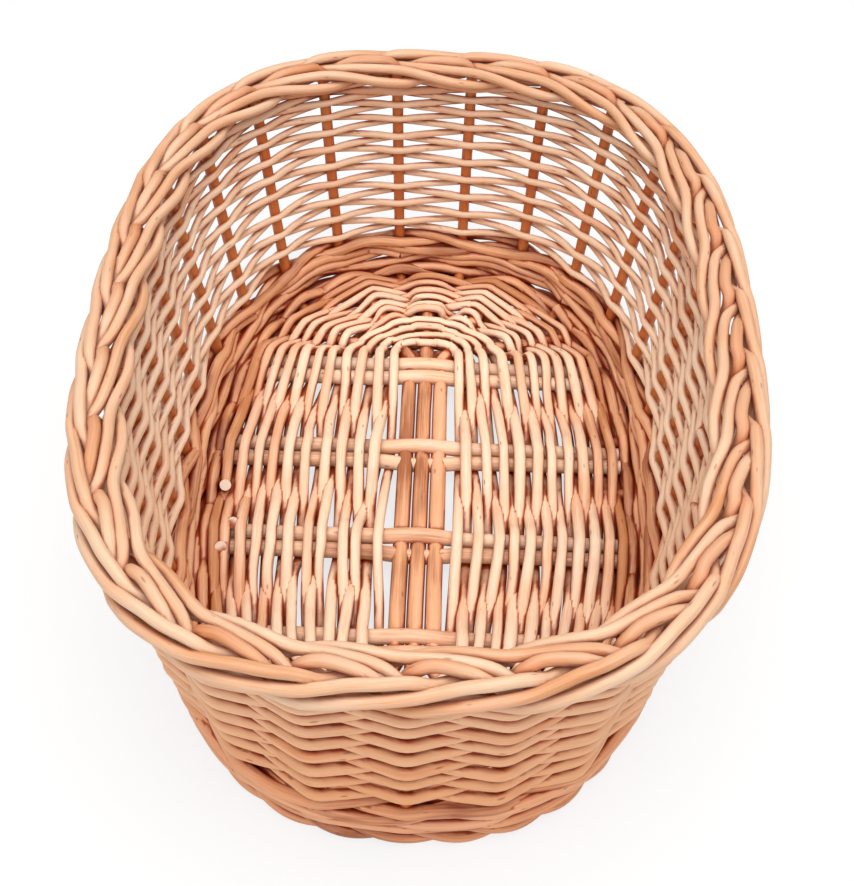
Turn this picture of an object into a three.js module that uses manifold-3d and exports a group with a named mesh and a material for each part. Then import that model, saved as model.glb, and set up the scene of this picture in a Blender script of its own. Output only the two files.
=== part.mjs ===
// Oval willow basket with an open top, a stick-and-weaver base and a rolled rod border.
// Millimetres, +Z up. The origin is at floor level under the middle of the base.
// The long side runs along Y, the front is -Y.
import * as THREE from 'three';
import { mergeVertices } from 'three/addons/utils/BufferGeometryUtils.js';
import Module from 'manifold-3d';

const manifoldLibrary = await Module();
manifoldLibrary.setup();

// Outside of the whole basket
const totalHeight = 150;
const rimHalfWidth = 134.5;
const rimHalfLength = 183.5;
const rimSquareness = 2.75;

// The wall's line where it leaves the base
const wallFootHalfWidth = 114;
const wallFootHalfLength = 175.5;
const wallFootSquareness = 2.5;

// Rods
const stakeCount = 27;
const stakeDiameter = 5.8;
const sideWeaverDiameter = 3.8;
const upsettRodDiameter = 4.6;
const footRodDiameter = 5;
const baseStickDiameter = 8.2;
const endSpokeDiameter = 6;
const baseWeaverDiameter = 4;

// Room left between rods that touch on the real basket, and where two lengths of rod are joined
const clearance = 0.3;
const jointGap = 2.5;

// Base
const pairSpacing = 58.5;
const pairCount = 4;
const longStickCount = 3;
const stickGapInPair = 1.2;
const baseRounds = 14;
const openRounds = 8;
const baseWeaverCount = 3;

// How the base weave rises over the sticks: more where two sticks lie side by side
const pairArchRise = 1.6;
const endPairArchRise = 2.7;
const spokeArchRise = 1.2;

// Where the fanned long sticks and the corner spokes end, as shares of the base's half width
const fanTipShare = 0.38;
const spokeTipShare = 0.76;

// Where the innermost round turns past the slath's end, as shares of its half width
const fanInnerShare = 0.47;
const spokeInnerShare = 0.83;
const innerCrown = 2;

// How far out from the slath the corner spokes begin, as a share of the way to the edge
const spokeStartShare = 0.22;

// Foot, upsett and wall
const footFlatDepth = 0.9;
const footTurns = 9;
const footStepsPerTurn = 6;
const footRodCount = 3;
const footInset = 1;
const upsetBendRadius = 8;
const baseEdgeGap = 3;
const upsettRodCount = 4;
const upsettStakesPerStroke = 2;
const openRowGap = 2.7;
const beatenRowGap = 0.5;
const sideWeaverCount = 8;

// Border: each stake's tip runs once round the border's core while it passes this many stakes.
// The core's reach outward and upward is counted in rods.
const borderLay = 5;
const borderTail = 4.5;
const borderRodsAcross = 1.4;
const borderRodsUp = 0.88;
const kneeRadius = 5.5;

// Sides of the rods' sections
const fineSides = 12;
const roundSides = 5;

// Heights that follow from the sizes above
const footRopeRadius = (footRodDiameter + clearance)
  / (2 * Math.sin(Math.PI / footRodCount) * Math.cos(Math.PI / footStepsPerTurn));
const footRopeHalf = footRopeRadius + footRodDiameter / 2;
const footCentreHeight = footRopeHalf - footFlatDepth;
// The foot's rope lies in the outer curve of the stakes' bends, flat side to flat side
const flatShare = Math.cos(Math.PI / roundSides);
const bendToRope = upsetBendRadius + clearance + footRopeRadius
  + (flatShare * (stakeDiameter + footRodDiameter)) / 2;
const baseHeight = footCentreHeight - upsetBendRadius
  + Math.sqrt(bendToRope ** 2 - (upsetBendRadius - footInset) ** 2);
const borderRodPitch = stakeDiameter + clearance;
const borderAcross = borderRodsAcross * borderRodPitch;
const borderUp = borderRodsUp * borderRodPitch;
const borderHeight = totalHeight - borderUp - stakeDiameter / 2;

const group = new THREE.Group();

const colours = {
  buff: 0xe6b488,
  pale: 0xefcfa2,
  orange: 0xc98a5a,
  dark: 0xa9683f,
};

function willow(colour) {
  return new THREE.MeshStandardMaterial({ color: colour, roughness: 0.6, metalness: 0 });
}

// An oval read by the share of its length, counter-clockwise from the front
class Oval {
  constructor(halfWidth, halfLength, squareness) {
    const samples = 720;
    this.points = [];
    this.lengths = [0];
    for (let i = 0; i <= samples; i += 1) {
      const angle = -Math.PI / 2 + (2 * Math.PI * i) / samples;
      const x = halfWidth * signedPower(Math.cos(angle), 2 / squareness);
      const y = halfLength * signedPower(Math.sin(angle), 2 / squareness);
      this.points.push(new THREE.Vector2(x, y));
      if (i > 0) {
        this.lengths.push(this.lengths[i - 1] + this.points[i].distanceTo(this.points[i - 1]));
      }
    }
    this.total = this.lengths[samples];
  }

  at(share) {
    const wanted = (share - Math.floor(share)) * this.total;
    let low = 0;
    let high = this.lengths.length - 1;
    while (high - low > 1) {
      const middle = (low + high) >> 1;
      if (this.lengths[middle] <= wanted) {
        low = middle;
      } else {
        high = middle;
      }
    }
    const step = (wanted - this.lengths[low]) / (this.lengths[high] - this.lengths[low]);
    return this.points[low].clone().lerp(this.points[high], step);
  }

  outward(share) {
    const reach = 0.004;
    const along = this.at(share + reach).sub(this.at(share - reach)).normalize();
    return new THREE.Vector2(along.y, -along.x);
  }
}

function signedPower(value, power) {
  return Math.sign(value) * Math.abs(value) ** power;
}

// A path through given points, sampled at exactly those points
class RodPath extends THREE.Curve {
  constructor(points) {
    super();
    this.points = points;
  }

  getPoint(t, target = new THREE.Vector3()) {
    const place = Math.min(Math.max(t, 0), 1) * (this.points.length - 1);
    const index = Math.min(Math.floor(place), this.points.length - 2);
    return target.copy(this.points[index]).lerp(this.points[index + 1], place - index);
  }

  getPointAt(u, target) {
    return this.getPoint(u, target);
  }

  getTangentAt(u, target) {
    return this.getTangent(u, target);
  }
}

function roundSection(diameter, sides) {
  const corners = [];
  for (let i = 0; i < sides; i += 1) {
    const angle = (2 * Math.PI * (i + 0.5)) / sides;
    corners.push(new THREE.Vector2(Math.cos(angle), Math.sin(angle)).multiplyScalar(diameter / 2));
  }
  return new THREE.Shape(corners);
}

function rodGeometry(points, diameter, sides) {
  return new THREE.ExtrudeGeometry(roundSection(diameter, sides), {
    steps: points.length - 1,
    bevelEnabled: false,
    extrudePath: new RodPath(points),
  });
}

function addPiece(name, geometry, colour) {
  const piece = new THREE.Mesh(geometry, willow(colour));
  piece.name = name;
  group.add(piece);
}

// Booleans
function toSolid(geometry) {
  const bare = geometry.clone();
  bare.deleteAttribute('normal');
  bare.deleteAttribute('uv');
  const weldDistance = 1e-4;
  const merged = mergeVertices(bare, weldDistance);
  return new manifoldLibrary.Manifold(new manifoldLibrary.Mesh({
    numProp: 3,
    vertProperties: new Float32Array(merged.attributes.position.array),
    triVerts: new Uint32Array(merged.index.array),
  }));
}

function toGeometry(solid) {
  const mesh = solid.getMesh();
  const geometry = new THREE.BufferGeometry();
  geometry.setAttribute('position', new THREE.BufferAttribute(new Float32Array(mesh.vertProperties), 3));
  geometry.setIndex(new THREE.BufferAttribute(new Uint32Array(mesh.triVerts), 1));
  geometry.computeVertexNormals();
  return geometry;
}

function box(low, high) {
  const size = high.clone().sub(low);
  const centre = low.clone().add(high).multiplyScalar(0.5);
  const geometry = new THREE.BoxGeometry(size.x, size.y, size.z);
  geometry.translate(centre.x, centre.y, centre.z);
  return geometry;
}

// The wall is ruled between the base's oval and the border's oval
const footOval = new Oval(wallFootHalfWidth, wallFootHalfLength, wallFootSquareness);
const rimOval = new Oval(rimHalfWidth, rimHalfLength, rimSquareness);

function wallPoint(share, height, offset) {
  const rise = (height - baseHeight) / (borderHeight - baseHeight);
  const place = footOval.at(share).lerp(rimOval.at(share), rise);
  const out = footOval.outward(share).lerp(rimOval.outward(share), rise).normalize();
  place.addScaledVector(out, offset);
  return new THREE.Vector3(place.x, place.y, height);
}

// Base sticks. Where a cross stick passes over or under the long sticks, both are pared to half.
const baseEdgeOffset = upsetBendRadius + baseEdgeGap + clearance;
const baseHalfWidth = wallFootHalfWidth - baseEdgeOffset;
const baseHalfLength = wallFootHalfLength - baseEdgeOffset;
const longStickSpacing = baseStickDiameter + clearance;
const slathHalfWidth = ((longStickCount - 1) / 2) * longStickSpacing + baseStickDiameter / 2;
const stickOffsetInPair = (baseStickDiameter + stickGapInPair) / 2;
const pareHalfWidth = baseStickDiameter / 2 + clearance;
const endPairY = ((pairCount - 1) / 2) * pairSpacing;

function baseEdgeX(y) {
  const share = Math.abs(y / baseHalfLength) ** wallFootSquareness;
  return baseHalfWidth * (1 - share) ** (1 / wallFootSquareness);
}

function baseEdgeY(x) {
  const share = Math.abs(x / baseHalfWidth) ** wallFootSquareness;
  return baseHalfLength * (1 - share) ** (1 / wallFootSquareness);
}

// Each cross stick passes over the long sticks, apart from one of each middle pair
const crossSticks = [];
for (let pair = 0; pair < pairCount; pair += 1) {
  const pairY = endPairY - pair * pairSpacing;
  const isEndPair = pair === 0 || pair === pairCount - 1;
  crossSticks.push({ y: pairY + stickOffsetInPair, over: true });
  crossSticks.push({ y: pairY - stickOffsetInPair, over: isEndPair });
}

function pareBox(low, high, keepsTop) {
  const bottom = keepsTop ? baseHeight - baseStickDiameter : baseHeight - clearance / 2;
  const top = keepsTop ? baseHeight + clearance / 2 : baseHeight + baseStickDiameter;
  return box(new THREE.Vector3(low.x, low.y, bottom), new THREE.Vector3(high.x, high.y, top));
}

function addCrossStick(name, stick) {
  const reach = baseEdgeX(Math.abs(stick.y) + baseStickDiameter / 2);
  const ends = [new THREE.Vector3(-reach, stick.y, baseHeight), new THREE.Vector3(reach, stick.y, baseHeight)];
  const cut = pareBox(
    new THREE.Vector2(-slathHalfWidth - clearance, stick.y - baseStickDiameter),
    new THREE.Vector2(slathHalfWidth + clearance, stick.y + baseStickDiameter),
    stick.over,
  );
  const solid = toSolid(rodGeometry(ends, baseStickDiameter, fineSides)).subtract(toSolid(cut));
  addPiece(name, toGeometry(solid), colours.buff);
}

// The outer long sticks spread like a fan past the end pairs
const fanTipX = fanTipShare * baseHalfWidth;
const fanStartY = endPairY + stickOffsetInPair + pareHalfWidth + clearance;

function longStickPoints(x) {
  const tipX = Math.sign(x) * fanTipX;
  const tipY = baseEdgeY(Math.abs(tipX) + baseStickDiameter / 2);
  return [
    new THREE.Vector3(tipX, -tipY, baseHeight),
    new THREE.Vector3(x, -fanStartY, baseHeight),
    new THREE.Vector3(x, fanStartY, baseHeight),
    new THREE.Vector3(tipX, tipY, baseHeight),
  ];
}

function addLongStick(name, x) {
  let solid = toSolid(rodGeometry(longStickPoints(x), baseStickDiameter, fineSides));
  for (const stick of crossSticks) {
    const cut = pareBox(
      new THREE.Vector2(x - baseStickDiameter, stick.y - pareHalfWidth),
      new THREE.Vector2(x + baseStickDiameter, stick.y + pareHalfWidth),
      !stick.over,
    );
    solid = solid.subtract(toSolid(cut));
  }
  addPiece(name, toGeometry(solid), colours.orange);
}

// Extra spokes fill the corners between the fan and the end pairs
const weaverEdge = baseWeaverDiameter / 2 + clearance;
const innerX = slathHalfWidth + weaverEdge;
const innerY = fanStartY + weaverEdge;
const spokeTipX = spokeTipShare * baseHalfWidth;
const spokeInner = new THREE.Vector2(spokeInnerShare * innerX, innerY);
const spokeOuter = new THREE.Vector2(spokeTipX, baseEdgeY(spokeTipX + endSpokeDiameter / 2));

function addEndSpoke(name, signX, signY) {
  const start = spokeInner.clone().lerp(spokeOuter, spokeStartShare);
  const ends = [
    new THREE.Vector3(signX * start.x, signY * start.y, baseHeight),
    new THREE.Vector3(signX * spokeOuter.x, signY * spokeOuter.y, baseHeight),
  ];
  addPiece(name, rodGeometry(ends, endSpokeDiameter, fineSides), colours.buff);
}

function addBaseSticks() {
  for (let i = 0; i < longStickCount; i += 1) {
    addLongStick(`base_long_stick_${i + 1}`, (i - (longStickCount - 1) / 2) * longStickSpacing);
  }
  crossSticks.forEach((stick, i) => addCrossStick(`base_cross_stick_${i + 1}`, stick));
  addEndSpoke('base_end_spoke_1', -1, 1);
  addEndSpoke('base_end_spoke_2', 1, 1);
  addEndSpoke('base_end_spoke_3', -1, -1);
  addEndSpoke('base_end_spoke_4', 1, -1);
}

// Base weave. One round crosses the four pairs on the right, five spokes at the back, the pairs
// on the left and five spokes at the front. Each crossing has an inner place beside the slath
// and an outer place at the base's edge, and the rounds are spaced evenly between them.
const outerInset = baseWeaverDiameter / 2;
const touchLift = (baseStickDiameter + baseWeaverDiameter) / 2 + clearance;
const pairLift = touchLift + pairArchRise;
const endPairLift = touchLift + endPairArchRise;
const spokeLift = touchLift + spokeArchRise;

function outerPlace(x, y) {
  const shrinkX = (baseHalfWidth - outerInset) / baseHalfWidth;
  const shrinkY = (baseHalfLength - outerInset) / baseHalfLength;
  return new THREE.Vector2(x * shrinkX, y * shrinkY);
}

function pairCrossing(side, pair, sign) {
  const isEndPair = pair === 0 || pair === pairCount - 1;
  const pairY = endPairY - pair * pairSpacing;
  const y = isEndPair ? pairY + Math.sign(pairY) * stickOffsetInPair : pairY;
  return {
    inner: new THREE.Vector2(side * innerX, y),
    outer: new THREE.Vector2(side * outerPlace(baseEdgeX(y), y).x, y),
    lift: isEndPair ? endPairLift : pairLift,
    closed: sign,
    open: sign,
  };
}

function endCrossings(end, sign) {
  const innerPlaces = [
    spokeInner,
    new THREE.Vector2(fanInnerShare * innerX, innerY + 0.75 * innerCrown),
    new THREE.Vector2(0, innerY + innerCrown),
  ];
  const outerPlaces = [spokeTipX, fanTipX, 0].map((x) => outerPlace(x, baseEdgeY(x)));
  const order = [0, 1, 2, 1, 0];
  return order.map((ring, i) => {
    const side = end * (i < 2 ? 1 : -1);
    return {
      inner: new THREE.Vector2(side * innerPlaces[ring].x, end * innerPlaces[ring].y),
      outer: new THREE.Vector2(side * outerPlaces[ring].x, end * outerPlaces[ring].y),
      lift: spokeLift,
      closed: sign,
      open: i % 2 === 0 ? -sign : sign,
    };
  });
}

function baseCrossings() {
  return [
    pairCrossing(1, 3, 1),
    pairCrossing(1, 2, 1),
    pairCrossing(1, 1, -1),
    pairCrossing(1, 0, 1),
    ...endCrossings(1, 1),
    pairCrossing(-1, 0, 1),
    pairCrossing(-1, 1, -1),
    pairCrossing(-1, 2, 1),
    pairCrossing(-1, 3, -1),
    ...endCrossings(-1, -1),
  ];
}

function addBaseWeave() {
  const crossings = baseCrossings();
  const total = baseRounds * crossings.length;
  const places = [];
  for (let step = 0; step <= total; step += 1) {
    const round = Math.floor(step / crossings.length);
    const crossing = crossings[step % crossings.length];
    const spread = step / total;
    const place = crossing.inner.clone().lerp(crossing.outer, spread);
    const turn = round % 2 === 0 ? 1 : -1;
    const side = turn * (round < openRounds ? crossing.closed : crossing.open);
    places.push(new THREE.Vector3(place.x, place.y, baseHeight + side * crossing.lift));
  }
  addInLengths('base_weaver', places, baseWeaverCount, baseWeaverDiameter, colours.pale);
}

// Cuts one long run of points into equal lengths, with a small joint gap between them
function addInLengths(name, places, count, diameter, colour) {
  for (let i = 0; i < count; i += 1) {
    const first = Math.round((i * (places.length - 1)) / count);
    const last = Math.round(((i + 1) * (places.length - 1)) / count);
    const run = places.slice(first, last + 1).map((place) => place.clone());
    if (i > 0) {
      pullIn(run, 0, 1, jointGap);
    }
    addPiece(`${name}_${i + 1}`, rodGeometry(run, diameter, roundSides), colour);
  }
}

function pullIn(run, end, next, distance) {
  const along = run[next].clone().sub(run[end]).normalize();
  run[end].addScaledVector(along, distance);
}

// Foot. Three rods are laid up like a rope under the stakes' bends and worn flat where they stand.
function addFoot() {
  const steps = footTurns * footStepsPerTurn;
  const floorCut = box(
    new THREE.Vector3(-2 * rimHalfWidth, -2 * rimHalfLength, -totalHeight),
    new THREE.Vector3(2 * rimHalfWidth, 2 * rimHalfLength, 0),
  );
  for (let rod = 0; rod < footRodCount; rod += 1) {
    const places = [];
    for (let step = 0; step <= steps; step += 1) {
      const share = step / steps;
      const angle = 2 * Math.PI * (step / footStepsPerTurn + rod / footRodCount);
      const out = footRopeRadius * Math.sin(angle);
      const up = footRopeRadius * Math.cos(angle);
      const place = footOval.at(share).addScaledVector(footOval.outward(share), out - footInset);
      places.push(new THREE.Vector3(place.x, place.y, footCentreHeight + up));
    }
    pullIn(places, 0, 1, jointGap);
    const solid = toSolid(rodGeometry(places, footRodDiameter, roundSides)).subtract(toSolid(floorCut));
    addPiece(`foot_rod_${rod + 1}`, toGeometry(solid), colours.orange);
  }
}

// Stakes. Each comes out of the base's edge, turns up through the wall and, at the top, bends
// over and runs round inside the border, over its top and down its outer side.
function stakePoints(index) {
  const share = index / stakeCount;
  const points = [];
  const bendSteps = 2;
  const buttOffset = -upsetBendRadius - baseEdgeGap;
  points.push(wallPoint(share, baseHeight, buttOffset));
  for (let i = 0; i <= bendSteps; i += 1) {
    const angle = (Math.PI / 2) * (i / bendSteps);
    const out = upsetBendRadius * (Math.sin(angle) - 1);
    points.push(wallPoint(share, baseHeight + upsetBendRadius * (1 - Math.cos(angle)), out));
  }
  const kneeShare = kneeRadius / rimOval.total;
  const kneeBottom = borderHeight - borderUp - kneeRadius;
  points.push(wallPoint(share, kneeBottom, 0));
  const slack = 1 - Math.SQRT1_2;
  points.push(wallPoint(share + slack * kneeShare, kneeBottom + Math.SQRT1_2 * kneeRadius, 0));
  points.push(wallPoint(share + kneeShare, borderHeight - borderUp, 0));
  const halfPitch = 0.5;
  for (let t = halfPitch; t <= borderTail; t += halfPitch) {
    const turn = (2 * Math.PI * t) / borderLay;
    const out = -borderAcross * Math.sin(turn);
    const up = -borderUp * Math.cos(turn);
    const base = wallPoint(share + t / stakeCount, borderHeight, out);
    points.push(base.setZ(borderHeight + up));
  }
  return points;
}

function addStakes() {
  for (let i = 0; i < stakeCount; i += 1) {
    const name = `stake_${String(i + 1).padStart(2, '0')}`;
    addPiece(name, rodGeometry(stakePoints(i), stakeDiameter, roundSides), colours.dark);
  }
}

// A rod woven through the stakes has one bend at each stake. A bend is pushed away from its stake
// until the straight stretches on both sides clear the stake too.
function wovenRun(first, last, sideAt, heightAt, diameter) {
  const reach = (stakeDiameter + diameter) / 2 + clearance;
  const offsets = [];
  const places = [];
  const stakes = [];
  for (let k = first; k <= last; k += 1) {
    const offset = sideAt(k) * reach;
    offsets.push(offset);
    stakes.push(wallPoint(k / stakeCount, heightAt(k), 0));
    places.push(wallPoint(k / stakeCount, heightAt(k), offset));
  }
  const passes = 3;
  for (let pass = 0; pass < passes; pass += 1) {
    for (let i = 0; i < places.length; i += 1) {
      const before = i > 0 ? lineDistance(stakes[i], places[i - 1], places[i]) : reach;
      const after = i < places.length - 1 ? lineDistance(stakes[i], places[i], places[i + 1]) : reach;
      const shortfall = Math.max(1, reach / Math.min(before, after));
      offsets[i] *= shortfall;
      places[i] = wallPoint((first + i) / stakeCount, heightAt(first + i), offsets[i]);
    }
  }
  return places;
}

function lineDistance(point, start, end) {
  const alongX = end.x - start.x;
  const alongY = end.y - start.y;
  const length = Math.hypot(alongX, alongY);
  return Math.abs(alongX * (point.y - start.y) - alongY * (point.x - start.x)) / length;
}

// Upsett. Thick rods pass outside two stakes and inside the next two, each a stake later.
const upsettBottom = baseHeight + upsetBendRadius;
const upsettPitch = upsettRodDiameter + clearance;

function addUpsett() {
  const shortOfStart = 0.4;
  for (let rod = 0; rod < upsettRodCount; rod += 1) {
    const sideAt = (k) => (Math.floor((k + rod) / upsettStakesPerStroke) % 2 === 0 ? 1 : -1);
    const heightAt = () => upsettBottom + rod * upsettPitch;
    const places = wovenRun(rod, rod + stakeCount, sideAt, heightAt, upsettRodDiameter);
    const last = places.length - 1;
    pullIn(places, 0, 1, jointGap);
    places[last].lerp(places[last - 1], shortOfStart);
    addPiece(`upsett_rod_${rod + 1}`, rodGeometry(places, upsettRodDiameter, roundSides), colours.orange);
  }
}

// Side weave. One spiral passes outside one stake and inside the next. Its rows stand apart low
// down, where light shows through, and are beaten close under the border.
const sideBottom = upsettBottom + (upsettRodCount - 0.5) * upsettPitch + clearance + sideWeaverDiameter / 2;
const sideTop = borderHeight - borderUp - stakeDiameter / 2 - clearance - sideWeaverDiameter / 2;

function addSideWeave() {
  const openPitch = sideWeaverDiameter + openRowGap;
  const beatenPitch = sideWeaverDiameter + beatenRowGap;
  const rounds = (sideTop - sideBottom) / ((openPitch + beatenPitch) / 2);
  const lastStake = Math.floor(rounds * stakeCount);
  const heightAt = (k) => {
    const done = k / stakeCount;
    return sideBottom + openPitch * done - ((openPitch - beatenPitch) * done * done) / (2 * rounds);
  };
  const sideAt = (k) => (k % 2 === 0 ? 1 : -1);
  const places = wovenRun(0, lastStake, sideAt, heightAt, sideWeaverDiameter);
  addInLengths('side_weaver', places, sideWeaverCount, sideWeaverDiameter, colours.buff);
}

addBaseSticks();
addBaseWeave();
addFoot();
addStakes();
addUpsett();
addSideWeave();

export default group;
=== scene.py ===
import math

import bpy
import numpy as np
from mathutils import Matrix, Vector
from mathutils.bvhtree import BVHTree


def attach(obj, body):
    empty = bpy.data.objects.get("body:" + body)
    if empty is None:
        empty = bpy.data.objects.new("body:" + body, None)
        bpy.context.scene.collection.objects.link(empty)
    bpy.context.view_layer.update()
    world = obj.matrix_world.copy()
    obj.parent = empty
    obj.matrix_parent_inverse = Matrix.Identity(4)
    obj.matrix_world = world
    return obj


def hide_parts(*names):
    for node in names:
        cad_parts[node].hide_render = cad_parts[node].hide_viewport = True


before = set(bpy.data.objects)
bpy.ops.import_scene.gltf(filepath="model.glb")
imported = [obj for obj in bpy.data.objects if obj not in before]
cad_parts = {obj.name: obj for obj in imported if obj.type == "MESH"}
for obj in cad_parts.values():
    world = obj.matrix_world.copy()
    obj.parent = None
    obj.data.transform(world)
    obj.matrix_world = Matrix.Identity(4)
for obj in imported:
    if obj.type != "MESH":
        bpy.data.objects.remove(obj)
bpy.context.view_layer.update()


# Camera. It looks down into the basket from above its front end, turned and rolled a little,
# as the photograph was taken.
MM = 0.001
IMAGE_WIDTH = 854
FOCAL_PIXELS = 1410
SENSOR_WIDTH = 36.0
NEAREST_SEEN = 0.01
CAMERA_PLACE = (9.4, -442.9, 569.6)
CAMERA_PITCH = math.radians(49.25)
CAMERA_YAW = math.radians(-0.85)
CAMERA_ROLL = math.radians(1.22)

camera_data = bpy.data.cameras.new("camera")
camera_data.sensor_fit = "HORIZONTAL"
camera_data.sensor_width = SENSOR_WIDTH
camera_data.lens = FOCAL_PIXELS * SENSOR_WIDTH / IMAGE_WIDTH
camera_data.clip_start = NEAREST_SEEN
camera = bpy.data.objects.new("camera", camera_data)
bpy.context.scene.collection.objects.link(camera)
bpy.context.scene.camera = camera

view_line = Vector((
    math.sin(CAMERA_YAW) * math.cos(CAMERA_PITCH),
    math.cos(CAMERA_YAW) * math.cos(CAMERA_PITCH),
    -math.sin(CAMERA_PITCH),
))
level_right = view_line.cross(Vector((0, 0, 1))).normalized()
level_up = level_right.cross(view_line)
camera_right = level_right * math.cos(CAMERA_ROLL) + level_up * math.sin(CAMERA_ROLL)
camera_up = level_up * math.cos(CAMERA_ROLL) - level_right * math.sin(CAMERA_ROLL)
turn = Matrix((camera_right, camera_up, -view_line)).transposed()
camera.matrix_world = Matrix.Translation(Vector(CAMERA_PLACE) * MM) @ turn.to_4x4()


# Long sticks. Three thick willow sticks lie side by side along the middle of the base. The outer
# two spread like a fan past the end pairs of cross sticks, whose laps press them down a little.
BASE_HEIGHT = 11.74
BASE_STICK = 8.2
CLEARANCE = 0.3
WALL_FOOT = (114.0, 175.5, 2.5)
BASE_EDGE_OFFSET = 11.3
BASE_HALF_WIDTH = WALL_FOOT[0] - BASE_EDGE_OFFSET
BASE_HALF_LENGTH = WALL_FOOT[1] - BASE_EDGE_OFFSET
BASE_SQUARENESS = WALL_FOOT[2]
PAIR_SPACING = 58.5
PAIR_HEIGHTS = [PAIR_SPACING * place for place in (1.5, 0.5, -0.5, -1.5)]
STICK_OFFSET_IN_PAIR = 4.7
STICK_SPACING = BASE_STICK + CLEARANCE
FAN_TIP_SHARE = 0.38
FAN_GAP = 4.7
FAN_START = PAIR_HEIGHTS[0] + STICK_OFFSET_IN_PAIR + FAN_GAP
FAN_BEND = 6.0
FAN_BEND_SHARE = 0.12
LAP_DIP = 1.6
LAP_DIP_REACH = 16.0
LONG_STICK_POINTS = 29
LONG_STICK_TAPER = 0.4
LONG_STICK_TONES = (0.72, 0.64, 0.46)

random = np.random.default_rng(27)


def base_edge_x(y):
    share = np.abs(y / BASE_HALF_LENGTH) ** BASE_SQUARENESS
    return BASE_HALF_WIDTH * (1 - share) ** (1 / BASE_SQUARENESS)


def base_edge_y(x):
    share = np.abs(x / BASE_HALF_WIDTH) ** BASE_SQUARENESS
    return BASE_HALF_LENGTH * (1 - share) ** (1 / BASE_SQUARENESS)


def rod_tree():
    """Turns chains of edges into round rods that swell, waver and close at both ends."""
    tree = bpy.data.node_groups.new("willow_rods", "GeometryNodeTree")
    sockets = [
        ("Rod lines", "Geometry"),
        ("Sides", "Int"),
        ("Step length", "Float"),
        ("Waver", "Float"),
        ("Waver length", "Float"),
        ("Swell", "Float"),
        ("Seed", "Float"),
        ("Finish", "Material"),
    ]
    for name, kind in sockets:
        tree.interface.new_socket(name, in_out="INPUT", socket_type="NodeSocket" + kind)
    tree.interface.new_socket("Rods", in_out="OUTPUT", socket_type="NodeSocketGeometry")

    def node(kind, settings, inputs):
        made = tree.nodes.new(kind)
        for key, value in settings.items():
            setattr(made, key, value)
        for key, value in inputs.items():
            if isinstance(value, bpy.types.NodeSocket):
                tree.links.new(value, made.inputs[key])
            else:
                made.inputs[key].default_value = value
        return made

    given = tree.nodes.new("NodeGroupInput").outputs
    lines = node("GeometryNodeMeshToCurve", {}, {"Mesh": given["Rod lines"]})
    smooth = node(
        "GeometryNodeCurveSplineType", {"spline_type": "CATMULL_ROM"},
        {"Curve": lines.outputs[0]},
    )
    even = node(
        "GeometryNodeResampleCurve", {"mode": "LENGTH"},
        {"Curve": smooth.outputs[0], "Length": given["Step length"]},
    )

    # The line wavers by a slow noise, and its thickness swells by the same noise
    place = node("GeometryNodeInputPosition", {}, {})
    frequency = node("ShaderNodeMath", {"operation": "DIVIDE"}, {0: 1.0, 1: given["Waver length"]})
    noise = node(
        "ShaderNodeTexNoise", {"noise_dimensions": "4D"},
        {"Vector": place.outputs[0], "W": given["Seed"], "Scale": frequency.outputs[0], "Detail": 1.0},
    )
    centred = node(
        "ShaderNodeVectorMath", {"operation": "SUBTRACT"},
        {0: noise.outputs["Color"], 1: (0.5, 0.5, 0.5)},
    )
    offset = node(
        "ShaderNodeVectorMath", {"operation": "SCALE"},
        {"Vector": centred.outputs[0], "Scale": given["Waver"]},
    )
    moved = node(
        "GeometryNodeSetPosition", {},
        {"Geometry": even.outputs[0], "Offset": offset.outputs[0]},
    )
    thickness = node("GeometryNodeInputNamedAttribute", {"data_type": "FLOAT"}, {"Name": "thickness"})
    swelling = node("ShaderNodeMath", {"operation": "SUBTRACT"}, {0: noise.outputs["Fac"], 1: 0.5})
    swollen = node(
        "ShaderNodeMath", {"operation": "MULTIPLY_ADD"},
        {0: swelling.outputs[0], 1: given["Swell"], 2: 1.0},
    )
    radius = node(
        "ShaderNodeMath", {"operation": "MULTIPLY"},
        {0: swollen.outputs[0], 1: thickness.outputs["Attribute"]},
    )

    # Each point of the tube remembers where it lies on the ring, for the grain
    circle = node(
        "GeometryNodeCurvePrimitiveCircle", {"mode": "RADIUS"},
        {"Resolution": given["Sides"], "Radius": 1.0},
    )
    ring = node(
        "GeometryNodeStoreNamedAttribute", {"data_type": "FLOAT_VECTOR", "domain": "POINT"},
        {"Geometry": circle.outputs[0], "Name": "ring", "Value": place.outputs[0]},
    )
    tube = node(
        "GeometryNodeCurveToMesh", {},
        {
            "Curve": moved.outputs[0],
            "Profile Curve": ring.outputs[0],
            "Scale": radius.outputs[0],
            "Fill Caps": True,
        },
    )
    real = node("GeometryNodeRealizeInstances", {}, {"Geometry": tube.outputs[0]})
    dressed = node(
        "GeometryNodeSetMaterial", {},
        {"Geometry": real.outputs[0], "Material": given["Finish"]},
    )
    result = tree.nodes.new("NodeGroupOutput")
    tree.links.new(dressed.outputs[0], result.inputs[0])
    return tree


ROD_TREE = rod_tree()
ROD_INPUTS = [item for item in ROD_TREE.interface.items_tree if item.in_out == "INPUT"]
ROD_SOCKETS = {item.name: item.identifier for item in ROD_INPUTS}
NOISE_REACH = 0.5
GRAIN_STARTS = (0.0, 20.0)
SEEDS = (0.0, 50.0)


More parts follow.
